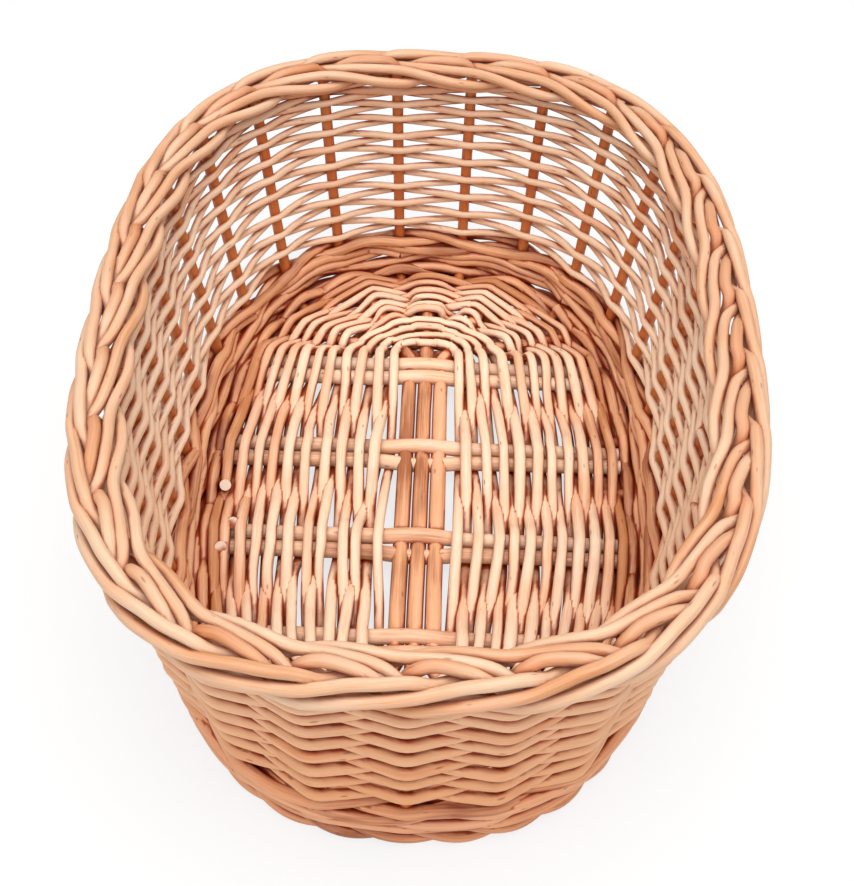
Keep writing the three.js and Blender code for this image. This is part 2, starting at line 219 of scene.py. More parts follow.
def rod(points, butt, tip=None, tone=0.5, cut_start=True, cut_end=True, shade=0.0):
    """One rod: the line of its middle, its diameter at both ends and its place in the colour range."""
    points = np.asarray(points, dtype=float)
    steps = np.linalg.norm(np.diff(points, axis=0), axis=1)
    run = np.concatenate(([0.0], np.cumsum(steps)))
    diameter = np.interp(run, (0.0, run[-1]), (butt, butt if tip is None else tip))
    cut = np.zeros(len(points))
    cut[0] = float(cut_start)
    cut[-1] = float(cut_end)
    return {
        "points": points,
        "run": run,
        "diameter": diameter,
        "tone": tone,
        "cut": cut,
        "shade": np.broadcast_to(shade, len(points)),
    }


def make_rods(name, rods, finish, sides=12, step=2.5, waver=0.5, waver_length=45.0, swell=0.12):
    """Makes one piece from its rods and gives it back as a plain mesh in its final place."""
    vertices = np.concatenate([strand["points"] for strand in rods]) * MM
    edges = []
    first = 0
    for strand in rods:
        count = len(strand["points"])
        edges += [(first + i, first + i + 1) for i in range(count - 1)]
        first += count
    starts = random.uniform(*GRAIN_STARTS, len(rods))
    values = {
        "thickness": np.concatenate([strand["diameter"] for strand in rods]) * MM / 2,
        "tone": np.concatenate([np.full(len(strand["points"]), strand["tone"]) for strand in rods]),
        "run": np.concatenate([strand["run"] * MM + start for strand, start in zip(rods, starts)]),
        "cut": np.concatenate([strand["cut"] for strand in rods]),
        "shade": np.concatenate([strand["shade"] for strand in rods]),
    }
    mesh = bpy.data.meshes.new(name)
    mesh.from_pydata(vertices.tolist(), edges, [])
    for key, numbers in values.items():
        attribute = mesh.attributes.new(key, "FLOAT", "POINT")
        attribute.data.foreach_set("value", numbers.astype(np.float32))
    lines = bpy.data.objects.new(name + "_lines", mesh)
    bpy.context.scene.collection.objects.link(lines)
    modifier = lines.modifiers.new("rods", "NODES")
    modifier.node_group = ROD_TREE
    settings = {
        "Sides": sides,
        "Step length": step * MM,
        "Waver": waver * MM / NOISE_REACH,
        "Waver length": waver_length * MM,
        "Swell": swell,
        "Seed": float(random.uniform(*SEEDS)),
        "Finish": finish,
    }
    for key, value in settings.items():
        modifier[ROD_SOCKETS[key]] = value
    bpy.context.view_layer.update()
    evaluated = lines.evaluated_get(bpy.context.evaluated_depsgraph_get())
    finished = bpy.data.meshes.new_from_object(evaluated)
    finished.name = name
    bpy.data.objects.remove(lines)
    bpy.data.meshes.remove(mesh)
    piece = bpy.data.objects.new(name, finished)
    bpy.context.scene.collection.objects.link(piece)
    return piece


pieces = []


def fit_in(piece, slot, *replaced):
    pieces.append(piece)
    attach(piece, "root")
    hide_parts(*replaced)


class Socket:
    """An output of a shader node. Arithmetic on it adds Math nodes."""

    def __init__(self, finish, output):
        self.finish = finish
        self.output = output

    def combine(self, operation, left, right):
        return self.finish.node("ShaderNodeMath", {"operation": operation}, {0: left, 1: right})

    def __add__(self, other):
        return self.combine("ADD", self, other)

    def __radd__(self, other):
        return self.combine("ADD", other, self)

    def __sub__(self, other):
        return self.combine("SUBTRACT", self, other)

    def __rsub__(self, other):
        return self.combine("SUBTRACT", other, self)

    def __mul__(self, other):
        return self.combine("MULTIPLY", self, other)

    def __rmul__(self, other):
        return self.combine("MULTIPLY", other, self)


class Finish:
    """A material whose nodes are added one call at a time."""

    def __init__(self, name):
        self.material = bpy.data.materials.new(name)
        self.material.use_nodes = True
        self.tree = self.material.node_tree
        self.tree.nodes.clear()

    def node(self, kind, settings, inputs, output=0):
        made = self.tree.nodes.new(kind)
        for key, value in settings.items():
            if key == "stops":
                ramp = made.color_ramp.elements
                ramp.remove(ramp[1])
                ramp[0].position, ramp[0].color = value[0]
                for position, colour in value[1:]:
                    ramp.new(position).color = colour
            else:
                setattr(made, key, value)
        for key, value in inputs.items():
            if isinstance(value, Socket):
                self.tree.links.new(value.output, made.inputs[key])
            else:
                made.inputs[key].default_value = value
        return Socket(self, made.outputs[output])

    def mix(self, factor, first, second, blend="MIX"):
        settings = {"data_type": "RGBA", "blend_type": blend, "clamp_factor": True}
        return self.node("ShaderNodeMix", settings, {0: factor, 6: first, 7: second}, output=2)

    def attribute(self, name, output="Fac"):
        return self.node("ShaderNodeAttribute", {"attribute_name": name}, {}, output)

    def between(self, value, low, high, out_low=0.0, out_high=1.0):
        return self.node(
            "ShaderNodeMapRange", {"interpolation_type": "SMOOTHSTEP", "clamp": True},
            {0: value, 1: low, 2: high, 3: out_low, 4: out_high},
        )

    def noise(self, vector, detail):
        return self.node("ShaderNodeTexNoise", {}, {"Vector": vector, "Scale": 1.0, "Detail": detail})

    def output(self, shader):
        surface = self.tree.nodes.new("ShaderNodeOutputMaterial")
        self.tree.links.new(shader.output, surface.inputs[0])
        return self.material


# Each pattern's scale round a rod and along it, and how finely its noise breaks up
PATCHES = (0.22, 17.0, 3.0)
STREAKS = (2.4, 14.0, 2.0)
BLUSH = (0.35, 42.0, 2.0)
GRAIN = (5.5, 55.0, 4.0)
FIBRE = (14.0, 120.0, 2.0)
BUD_MARKS = (0.9, 95.0)
BUD_MARK_SCALE = 0.62

# Where each pattern's values start and stop counting, and its strength at both
BLUSH_FADE = (0.5, 0.75, 0.0, 0.3)
FIBRE_FADE = (0.5, 0.72, 0.0, 0.3)
BUD_FADE = (0.05, 0.13, 1.0, 0.0)
CUT_FADE = (0.55, 1.0, 0.0, 0.8)

ROSY = (0.80, 0.40, 0.26, 1.0)
FIBRE_BROWN = (0.55, 0.30, 0.15, 1.0)
BUD_BROWN = (0.24, 0.09, 0.035, 1.0)
# Tint of the painted shade that the shade attribute asks for
SHADE_TINT = (0.78, 0.38, 0.14, 1.0)
CUT_WOOD = (0.90, 0.76, 0.62, 1.0)
# Tint of the painted shade between rods lying close together
CREVICE_SHADE_TINT = (0.45, 0.10, 0.025, 1.0)

PATCH_WARMTH = 2.0
STREAK_WARMTH = 0.7
GRAIN_WARMTH = 0.7
BUD_MARK_STRENGTH = 0.55
CREVICE_SHADE_START = 0.04
GRAIN_HEIGHT = 0.5
FIBRE_HEIGHT = 0.35
PATCH_HEIGHT = 0.6
BUD_HEIGHT = 0.4
GRAIN_DEPTH = 0.0006
GRAIN_STRENGTH = 0.5
GRAIN_RANGE = (0.25, 0.75)
SATIN_GAIN = 0.08
MATT_GAIN = 0.12


def willow(name, pale, warm, deep, tone_shift=0.0, roughness=0.5, crevice_shade_full_at=0.5):
    """Peeled willow: satin, with lengthwise grain, warm patches, small bud marks, pale cut ends and
    painted shade.
    """
    finish = Finish(name)
    ring = finish.attribute("ring", "Vector")
    run = finish.attribute("run")
    tone = finish.attribute("tone")
    cut = finish.attribute("cut")
    crevice = finish.attribute("crevice")
    shade = finish.attribute("shade")

    def along(round_scale, run_scale):
        across = finish.node(
            "ShaderNodeVectorMath", {"operation": "SCALE"},
            {0: ring, "Scale": round_scale},
        )
        onward = finish.node("ShaderNodeCombineXYZ", {}, {"Z": run * run_scale})
        return finish.node("ShaderNodeVectorMath", {"operation": "ADD"}, {0: across, 1: onward})

    def pattern(round_scale, run_scale, detail):
        return finish.noise(along(round_scale, run_scale), detail)

    patches = pattern(*PATCHES)
    streaks = pattern(*STREAKS)
    blush = pattern(*BLUSH)
    grain = pattern(*GRAIN)
    fibre = pattern(*FIBRE)
    warmth = (
        tone + tone_shift + (patches - 0.5) * PATCH_WARMTH
        + (streaks - 0.5) * STREAK_WARMTH + (grain - 0.5) * GRAIN_WARMTH
    )
    colour = finish.node(
        "ShaderNodeValToRGB",
        {"stops": [(0.0, pale), (0.5, warm), (1.0, deep)]},
        {"Fac": warmth},
    )
    rosy = finish.mix(finish.between(blush, *BLUSH_FADE), colour, ROSY)
    streaky = finish.mix(finish.between(fibre, *FIBRE_FADE), rosy, FIBRE_BROWN)

    # Bud marks are small brown spots some centimetres apart
    spots = finish.node(
        "ShaderNodeTexVoronoi", {"feature": "F1"},
        {"Vector": along(*BUD_MARKS), "Scale": BUD_MARK_SCALE},
    )
    bud = finish.between(spots, *BUD_FADE)
    marked = finish.mix(bud * BUD_MARK_STRENGTH, streaky, BUD_BROWN)
    # Painted shade: the shade attribute darkens the colour towards an orange-brown
    shaded = finish.mix(shade, marked, SHADE_TINT, "MULTIPLY")
    ended = finish.mix(finish.between(cut, *CUT_FADE), shaded, CUT_WOOD)
    # Painted shade: where other rods lie close, the colour darkens towards a deep red-brown
    crevice_shading = finish.between(crevice, CREVICE_SHADE_START, crevice_shade_full_at)
    closed = finish.mix(crevice_shading, ended, CREVICE_SHADE_TINT, "MULTIPLY")

    height = (
        grain * GRAIN_HEIGHT + fibre * FIBRE_HEIGHT
        + patches * PATCH_HEIGHT - bud * BUD_HEIGHT
    )
    bump = finish.node(
        "ShaderNodeBump", {},
        {"Strength": GRAIN_STRENGTH, "Distance": GRAIN_DEPTH, "Height": height},
    )
    dullness = finish.between(grain, *GRAIN_RANGE, roughness - SATIN_GAIN, roughness + MATT_GAIN)
    shader = finish.node(
        "ShaderNodeBsdfPrincipled", {},
        {"Base Color": closed, "Roughness": dullness, "Normal": bump},
    )
    return finish.output(shader)


PALE_CREAM = (0.92, 0.70, 0.50, 1.0)
PEACH = (0.85, 0.49, 0.29, 1.0)
BUFF = (0.80, 0.40, 0.20, 1.0)
AMBER = (0.58, 0.24, 0.09, 1.0)
CINNAMON = (0.38, 0.13, 0.05, 1.0)

stick_finish = willow("buff_stick_willow", PEACH, BUFF, CINNAMON, roughness=0.48)

for index in range(3):
    x = (index - 1) * STICK_SPACING
    tip_x = np.sign(x) * FAN_TIP_SHARE * BASE_HALF_WIDTH
    tip_y = base_edge_y(abs(tip_x) + BASE_STICK / 2)
    bend_x = x + (tip_x - x) * FAN_BEND_SHARE
    bend_y = FAN_START + FAN_BEND
    line = [(tip_x, -tip_y, BASE_HEIGHT), (bend_x, -bend_y, BASE_HEIGHT)]
    for y in np.linspace(-FAN_START, FAN_START, LONG_STICK_POINTS):
        near_pair = min(abs(y - pair) for pair in PAIR_HEIGHTS)
        dip = LAP_DIP * max(0.0, 1 - near_pair / LAP_DIP_REACH)
        line.append((x, y, BASE_HEIGHT - dip))
    line += [(bend_x, bend_y, BASE_HEIGHT), (tip_x, tip_y, BASE_HEIGHT)]
    stick = rod(line, BASE_STICK, BASE_STICK - LONG_STICK_TAPER, tone=LONG_STICK_TONES[index])
    piece = make_rods(
        f"long_stick_{index + 1}", [stick], stick_finish,
        sides=18, step=3.0, waver=0.5, swell=0.1,
    )
    fit_in(piece, "base_sticks", f"base_long_stick_{index + 1}")


# Cross sticks. Four pairs lie across the long sticks. Each passes over them, apart from the nearer
# stick of the two middle pairs, which passes under. Every lap is pared, so they sink into each other.
OVER_RISE = 2.3
UNDER_DROP = 2.6
LAP_HALF_WIDTH = 24.0
CROSS_STICK = 8.0
CROSS_STICK_TAPER = 0.7
CROSS_STICK_POINTS = 23
CROSS_STICK_SLANT = 0.9
CROSS_STICK_TONES = (0.3, 0.65)

cross_finish = willow(
    "pale_stick_willow", PALE_CREAM, PEACH, CINNAMON, roughness=0.48, crevice_shade_full_at=2.4,
)

number = 0
for pair, pair_y in enumerate(PAIR_HEIGHTS):
    is_end_pair = pair in (0, 3)
    for side in (1, -1):
        number += 1
        y = pair_y + side * STICK_OFFSET_IN_PAIR
        over = side == 1 or is_end_pair
        reach = base_edge_x(abs(y) + BASE_STICK / 2)
        lift = OVER_RISE if over else -UNDER_DROP
        slant = random.uniform(-CROSS_STICK_SLANT, CROSS_STICK_SLANT)
        line = []
        for x in np.linspace(-reach, reach, CROSS_STICK_POINTS):
            share = max(0.0, 1 - abs(x) / LAP_HALF_WIDTH)
            rise = lift * (3 * share ** 2 - 2 * share ** 3)
            line.append((x, y + slant * x / reach, BASE_HEIGHT + rise))
        tone = random.uniform(*CROSS_STICK_TONES)
        stick = rod(line, CROSS_STICK, CROSS_STICK - CROSS_STICK_TAPER, tone=tone)
        piece = make_rods(
            f"cross_stick_{number}", [stick], cross_finish,
            sides=18, step=3.0, waver=0.6, swell=0.14,
        )
        fit_in(piece, "base_sticks", f"base_cross_stick_{number}")


# Corner spokes. Four thinner sticks are pushed into the base weave between the fan of long sticks
# and the end pairs, so that the weave turns the corners evenly.
SPOKE = 6.0
SPOKE_TAPER = 0.6
SPOKE_TIP_SHARE = 0.76
SPOKE_START_SHARE = 0.22
SPOKE_POINTS = 6
BASE_WEAVER = 4.9
SIDE_START_GAP = 2.3
END_START_GAP = 5.5
CORNER_SHARE = 0.83
SLATH_HALF_WIDTH = STICK_SPACING + BASE_STICK / 2
INNER_X = SLATH_HALF_WIDTH + SIDE_START_GAP
INNER_Y = FAN_START + END_START_GAP
SPOKE_INNER = np.array((CORNER_SHARE * INNER_X, INNER_Y))
spoke_tip_x = SPOKE_TIP_SHARE * BASE_HALF_WIDTH
SPOKE_OUTER = np.array((spoke_tip_x, base_edge_y(spoke_tip_x + SPOKE / 2)))

corners = [(-1, 1), (1, 1), (-1, -1), (1, -1)]
for index, signs in enumerate(corners):
    start = SPOKE_INNER + (SPOKE_OUTER - SPOKE_INNER) * SPOKE_START_SHARE
    line = []
    for share in np.linspace(0, 1, SPOKE_POINTS):
        x, y = np.array(signs) * (start + (SPOKE_OUTER - start) * share)
        line.append((x, y, BASE_HEIGHT))
    spoke = rod(line, SPOKE, SPOKE - SPOKE_TAPER)
    piece = make_rods(f"corner_spoke_{index + 1}", [spoke], stick_finish, sides=14)
    fit_in(piece, "base_sticks", f"base_end_spoke_{index + 1}")


# Base weave. Pale willow rods go round the slath, over one pair and under the next. They lie open
# beside the slath and are beaten close near the wall. Each new rod starts beside the last one's tip.
BASE_ROUNDS = 21
CLOSED_ROUNDS = 8
SIDE_PITCH_SHARE = 1.15
END_PITCH_SHARE = 1.0
PAIR_LIFT = 6.6
END_PAIR_LIFT = 7.0
SPOKE_LIFT = 4.6
SPOKE_TOP_HALF_WIDTHS = (3.0, 3.0, 6.0)
FAN_INNER = np.array((0.47 * INNER_X, INNER_Y + 1.5))
MIDDLE_INNER = np.array((0.0, INNER_Y + 2.0))
SIDE_STEP = 1.0
RIGHT_GAP = 4.0
ROUND_DRIFT = 1.4
DIVE_DRIFT = 0.25
DIVE_CALMING = 0.4
BASE_BUTTS = (5.5, 6.5)
BASE_TIPS = (4.6, 5.4)
BASE_ROD_POINTS = (42, 62)
END_THINNING = 1.1
END_THINNING_REACH = 25.0
BASE_TONES = (-0.12, 0.26)
ODD_ROD_TONES = (0.0, 0.0, 0.0, 0.3)
WALL_TONE = 0.7
WALL_BAND_START = 0.84
WALL_BAND = 0.16
LEVEL_SHADE = 0.15
SHADE_DEPTH = 26.0
BASE_NODES = 3

base_finish = willow("pale_base_willow", PALE_CREAM, PEACH, AMBER, crevice_shade_full_at=0.56)


def outer_place(x, y):
    inset = BASE_WEAVER / 2
    return np.array((x * (1 - inset / BASE_HALF_WIDTH), y * (1 - inset / BASE_HALF_LENGTH)))


def base_crossings():
    """The eighteen sticks that a round meets: each one's inner and outer place, its lift, the side
    passed in the first rounds and in the later ones, its half width and its share of the pitch."""
    crossings = []

    def add_pair(side, pair):
        is_end_pair = pair in (0, 3)
        sign = 1 if pair % 2 == 0 else -1
        pair_y = PAIR_HEIGHTS[pair]
        y = pair_y + (math.copysign(STICK_OFFSET_IN_PAIR, pair_y) if is_end_pair else 0.0)
        outer = np.array((side * outer_place(base_edge_x(y), y)[0], y))
        lift = END_PAIR_LIFT if is_end_pair else PAIR_LIFT
        gap = 0.0 if is_end_pair or side < 0 else RIGHT_GAP
        inner = np.array((side * (INNER_X + gap), y))
        crossings.append((inner, outer, lift, sign, sign, STICK_OFFSET_IN_PAIR, SIDE_PITCH_SHARE))

    def add_end(end):
        inner_places = [SPOKE_INNER, FAN_INNER, MIDDLE_INNER]
        tips = (spoke_tip_x, FAN_TIP_SHARE * BASE_HALF_WIDTH, 0.0)
        outer_places = [outer_place(x, base_edge_y(x)) for x in tips]
        for i, place in enumerate((0, 1, 2, 1, 0)):
            flip = np.array((end if i < 2 else -end, end))
            crossings.append((
                inner_places[place] * flip, outer_places[place] * flip, SPOKE_LIFT,
                end, -end if i % 2 == 0 else end, SPOKE_TOP_HALF_WIDTHS[place], END_PITCH_SHARE,
            ))

    for pair in (3, 2, 1, 0):
        add_pair(1, pair)
    add_end(1)
    for pair in (0, 1, 2, 3):
        add_pair(-1, pair)
    add_end(-1)
    return crossings


def ovalness(place):
    """How far out a place lies on the base: 0 in the middle and 1 at the edge."""
    across = abs(place[0] / BASE_HALF_WIDTH) ** BASE_SQUARENESS
    along = abs(place[1] / BASE_HALF_LENGTH) ** BASE_SQUARENESS
    return (across + along) ** (1 / BASE_SQUARENESS)


def base_run():
    """The middle line of the whole base weave. It lies flat over a stick and dives between two."""
    crossings = base_crossings()
    per_round = len(crossings)
    total = BASE_ROUNDS * per_round
    tops = []
    for step in range(total + 1):
        turn_number = step // per_round
        inner, outer, lift, closed, opened, half_width, pitch_share = crossings[step % per_round]
        done = min(1.0, step / (total - per_round))
        spread = done * (pitch_share + (1 - pitch_share) * done)
        sign = closed if turn_number < CLOSED_ROUNDS else opened
        if turn_number % 2 == 1:
            sign = -sign
        reach = outer - inner
        shove = SIDE_STEP * sign + random.normal(0.0, ROUND_DRIFT)
        flat = inner + reach * spread + reach / np.linalg.norm(reach) * shove * (1 - done)
        tops.append((np.array((*flat, BASE_HEIGHT + sign * lift)), half_width, done))
    places = []
    for step, (top, half_width, done) in enumerate(tops[:-1]):
        following = tops[step + 1][0]
        before = tops[max(step - 1, 0)][0]
        onward = (following - before) * (1, 1, 0)
        onward /= np.linalg.norm(onward)
        dive_share = 0.5 + random.uniform(-DIVE_DRIFT, DIVE_DRIFT) * (1 - DIVE_CALMING * done)
        dive = top + (following - top) * (dive_share, dive_share, 0.5)
        bulge = (ovalness(top) + ovalness(following)) / (2 * ovalness(dive)) - 1
        dive[:2] *= 1 + bulge * done
        places += [top - onward * half_width, top + onward * half_width, dive]
    return np.array(places)


def split_run(places):
    """Cuts a long run of points into rods. Each starts a point before the last one's tip, and a rest
    under a third of a rod stays on the rod before it."""
    rods = []
    run_end = len(places) - 1
    first = 0
    while first < run_end - 1:
        length = int(random.integers(*BASE_ROD_POINTS))
        last = min(first + length, run_end)
        if run_end - last < length / 3:
            last = run_end
        rods.append(places[first:last + 1])
        if last == run_end:
            break
        first = last - 1
    return rods


base_places = base_run()
for index in range(BASE_NODES):
    first = round(index * (len(base_places) - 1) / BASE_NODES)
    last = round((index + 1) * (len(base_places) - 1) / BASE_NODES)
    rods = []
    for places in split_run(base_places[first:last + 1]):
        shares = places[:, :2] / (BASE_HALF_WIDTH, BASE_HALF_LENGTH)
        near_wall = (shares ** 2).sum(axis=1).mean()
        tone = random.uniform(*BASE_TONES) + random.choice(ODD_ROD_TONES)
        tone += WALL_TONE * max(0.0, near_wall - WALL_BAND_START) / WALL_BAND
        # Painted shade: a rod is darker and warmer where it dips below the sticks it crosses, a little
        # at their level, and not where it passes over
        dip_shade = np.clip(LEVEL_SHADE - (places[:, 2] - BASE_HEIGHT) / SHADE_DEPTH, 0, 1)
        weaver = rod(
            places, random.uniform(*BASE_BUTTS), random.uniform(*BASE_TIPS),
            tone=tone, cut_start=False, cut_end=False, shade=dip_shade,
        )
        past_pairs = (np.abs(places[:, 1]) - PAIR_HEIGHTS[0]) / END_THINNING_REACH
        weaver["diameter"] -= END_THINNING * np.clip(past_pairs, 0, 1)
        rods.append(weaver)
    piece = make_rods(
        f"base_weave_{index + 1}", rods, base_finish,
        sides=14, step=1.8, waver=0.9, waver_length=35.0, swell=0.25,
    )
    fit_in(piece, "base_weavers", f"base_weaver_{index + 1}")


# Foot. Three rods laid up like a rope run under the stakes' bends. They lift the base off the table
# and are worn flat where they stand.
FOOT_ROD = 5.7
FOOT_ROD_TAPER = 0.2
FOOT_TURNS = 13
POINTS_PER_TURN = 12
FOOT_START = 0.4
FOOT_ROPE_RADIUS = 3.53
FOOT_CENTRE_HEIGHT = 5.8
FOOT_INSET = 1.0
FOOT_TONES = (0.35, 0.5, 0.65)
FOOT_FRONT_SHADE = 0.35
RIM = (133.6, 182.4, 2.75)
BORDER_HEIGHT = 141.73
OVAL_POINTS = 1441

foot_finish = willow(
    "amber_willow", PEACH, BUFF, CINNAMON, tone_shift=0.05, roughness=0.46, crevice_shade_full_at=0.52,
)


class Oval:
    """A squarish oval read by the share of its length, counter-clockwise from the front."""

    def __init__(self, half_width, half_length, squareness):
        angle = np.linspace(-0.5 * np.pi, 1.5 * np.pi, OVAL_POINTS)
        across = np.sign(np.cos(angle)) * np.abs(np.cos(angle)) ** (2 / squareness)
        along = np.sign(np.sin(angle)) * np.abs(np.sin(angle)) ** (2 / squareness)
        self.points = np.stack((half_width * across, half_length * along), axis=-1)
        steps = np.linalg.norm(np.diff(self.points, axis=0), axis=1)
        lengths = np.concatenate(([0.0], np.cumsum(steps)))
        self.shares = lengths / lengths[-1]

    def at(self, share):
        wrapped = np.mod(share, 1.0)
        x = np.interp(wrapped, self.shares, self.points[:, 0])
        y = np.interp(wrapped, self.shares, self.points[:, 1])
        return np.stack((x, y), axis=-1)

    def outward(self, share):
        reach = 0.004
        along = self.at(np.add(share, reach)) - self.at(np.subtract(share, reach))
        normal = np.stack((along[..., 1], -along[..., 0]), axis=-1)
        return normal / np.linalg.norm(normal, axis=-1, keepdims=True)


foot_oval = Oval(*WALL_FOOT)
rim_oval = Oval(*RIM)


def wall_points(share, height, offset):
    """Points on the wall, which is ruled from the base's oval to the border's oval."""
    share, height, offset = np.broadcast_arrays(share, height, offset)
    rise = ((height - BASE_HEIGHT) / (BORDER_HEIGHT - BASE_HEIGHT))[..., None]
    flat = foot_oval.at(share) * (1 - rise) + rim_oval.at(share) * rise
    out = foot_oval.outward(share) * (1 - rise) + rim_oval.outward(share) * rise
    out /= np.linalg.norm(out, axis=-1, keepdims=True)
    flat = flat + out * offset[..., None]
    return np.concatenate((flat, height[..., None]), axis=-1)


# Painted shade: rods are darker and warmer towards the front end; the back half has none
def front_shade(line):
    return FOOT_FRONT_SHADE * np.clip(-line[:, 1] / WALL_FOOT[1], 0, 1)


def vertex_vectors(mesh, kind):
    """Every vertex's place or normal, one row each."""
    values = np.empty(len(mesh.vertices) * 3)
    mesh.vertices.foreach_get(kind, values)
    return values.reshape(-1, 3)


for index in range(3):
    share = np.linspace(0, 1, FOOT_TURNS * POINTS_PER_TURN + 1) + FOOT_START
    angle = 2 * np.pi * (FOOT_TURNS * share + index / 3)
    offset = FOOT_ROPE_RADIUS * np.sin(angle) - FOOT_INSET
    flat = foot_oval.at(share) + foot_oval.outward(share) * offset[:, None]
    height = FOOT_CENTRE_HEIGHT + FOOT_ROPE_RADIUS * np.cos(angle)
    line = np.column_stack((flat, height))
    strand = rod(
        line, FOOT_ROD + FOOT_ROD_TAPER, FOOT_ROD, tone=FOOT_TONES[index], shade=front_shade(line),
    )
    piece = make_rods(
        f"foot_strand_{index + 1}", [strand], foot_finish, sides=14, step=2.5, waver=0.7,
    )
    worn = vertex_vectors(piece.data, "co")
    worn[:, 2] = np.maximum(worn[:, 2], 0.0)
    piece.data.vertices.foreach_set("co", worn.ravel())
    piece.data.update()
    fit_in(piece, "foot_and_upsett", f"foot_rod_{index + 1}")


# Stakes. Twenty-seven stout rods come out of the base's edge and turn up through the wall. At the top
# each bends to the right over a knee and is laid down into the border: outside the next three stakes,
# back over the top, inside the two after them, and out again to its cut end.
STAKE_COUNT = 27
STAKE = 5.8
BORDER_ROD = 5.3
STAKE_TIP = 4.8
UPSETT_BEND_RADIUS = 8.0
BASE_EDGE_GAP = 3.0
BUTT_REACH = 24.0
BUTT_DROP = 3.2
BEND_POINTS = 5
UPRIGHT_START = 30.0
UPRIGHT_END_DROP = 9.0
UPRIGHT_POINTS = 9
STAKE_LEAN = 0.25
LAY_DRIFT = 0.18
LAY_RISE_SHARE = 0.4
STAKE_TONES = (0.12, 0.58)
KNEE_SHADE = 0.5

# How many stakes on from its own the knee's points are, how far out and how far above the border
KNEE = [
    (0.00, 0.0, -3.0),
    (0.03, -0.2, 1.0),
    (0.11, -0.6, 3.9),
]

# Each row says how many stakes on from its own a rod is, how far out from the wall's line and how
# far above the border's middle
BORDER_LAY = [
    (0.22, -0.9, 5.0),
    (0.36, -0.5, 5.1),
    (0.50, 0.5, 4.3),
    (0.62, 1.5, 2.9),
    (0.80, 3.7, -0.8),
    (1.00, 5.8, -4.0),
    (1.12, 5.0, -5.6),
    (1.30, 4.8, -6.6),
    (1.50, 5.2, -7.2),
    (1.80, 6.8, -8.0),
    (2.00, 8.6, -8.2),
    (2.15, 9.6, -7.0),
    (2.50, 10.2, -3.0),
    (3.00, 9.5, 0.2),
    (3.25, 8.2, 1.8),
    (3.50, 6.7, 3.6),
    (3.75, 6.2, 4.3),
    (4.00, 5.4, 4.6),
    (4.12, 5.0, 3.5),
    (4.25, 3.5, 0.5),
    (4.50, -1.2, -2.2),
    (4.80, -7.2, -3.4),
    (5.00, -9.6, -2.6),
    (5.30, -10.6, -0.6),
    (5.60, -9.1, 1.4),
    (5.80, -7.3, 2.2),
    (6.00, -6.1, 2.8),
    (6.30, -5.4, 3.2),
    (6.60, -3.8, 3.0),
    (6.80, -1.6, 2.0),
    (6.92, 1.4, 0.6),
    (7.04, 4.4, -0.6),
]

BORDER_CREAM = (0.73, 0.495, 0.33, 1.0)
BORDER_PEACH = (0.685, 0.375, 0.215, 1.0)
stake_finish = willow(
    "border_willow", BORDER_CREAM, BORDER_PEACH, AMBER, tone_shift=0.04, crevice_shade_full_at=1.0,
)


def stake_line(index):
    """The middle line of a stake from its butt to its tip, and the number of its last upright point."""
    share = index / STAKE_COUNT
    lean = random.normal(0.0, STAKE_LEAN)
    butt_offsets = np.array((-BUTT_REACH, -UPSETT_BEND_RADIUS - BASE_EDGE_GAP))
    butt = wall_points(share, BASE_HEIGHT, butt_offsets)
    butt[:, 2] -= (BUTT_DROP, BUTT_DROP / 2)
    angle = np.linspace(0, np.pi / 2, BEND_POINTS)
    bend = wall_points(
        share, BASE_HEIGHT + UPSETT_BEND_RADIUS * (1 - np.cos(angle)),
        UPSETT_BEND_RADIUS * (np.sin(angle) - 1),
    )
    upright_height = np.linspace(UPRIGHT_START, BORDER_HEIGHT - UPRIGHT_END_DROP, UPRIGHT_POINTS)
    upright_offset = lean * np.sin(np.linspace(0, np.pi, UPRIGHT_POINTS))
    upright = wall_points(share, upright_height, upright_offset)
    stakes_on, out, up = np.array(KNEE).T
    knee = wall_points(share + stakes_on / STAKE_COUNT, BORDER_HEIGHT + up, out)
    stakes_on, out, up = np.array(BORDER_LAY).T
    drift_out, drift_up = random.normal(0.0, LAY_DRIFT, 2)
    laid = wall_points(share + stakes_on / STAKE_COUNT, BORDER_HEIGHT, out + drift_out)
    laid[:, 2] = BORDER_HEIGHT + up + drift_up * LAY_RISE_SHARE
    upright_end = len(butt) + len(bend) + len(upright) - 1
    return np.concatenate((butt, bend, upright, knee, laid)), upright_end


for index in range(STAKE_COUNT):
    line, upright_end = stake_line(index)
    numbers = np.arange(len(line))
    stake = rod(line, STAKE, tone=random.uniform(*STAKE_TONES))
    thickness_places = (0, upright_end, upright_end + 4, numbers[-1])
    thicknesses = (STAKE, STAKE, BORDER_ROD, STAKE_TIP)
    stake["diameter"] = np.interp(numbers, thickness_places, thicknesses)
    # Painted shade: a stake is fully shaded from its butt up its upright, among the weavers, and the
    # shade fades over the knee and out along the border
    shade_places = (upright_end - 1, upright_end + 3, upright_end + 8)
    stake["shade"] = np.interp(numbers, shade_places, (1.0, KNEE_SHADE, 0.0))
    piece = make_rods(
        f"stake_rod_{index + 1:02d}", [stake], stake_finish,
        sides=14, step=2.2, waver=0.35, waver_length=50.0,
    )
    fit_in(piece, "stakes", f"stake_{index + 1:02d}")


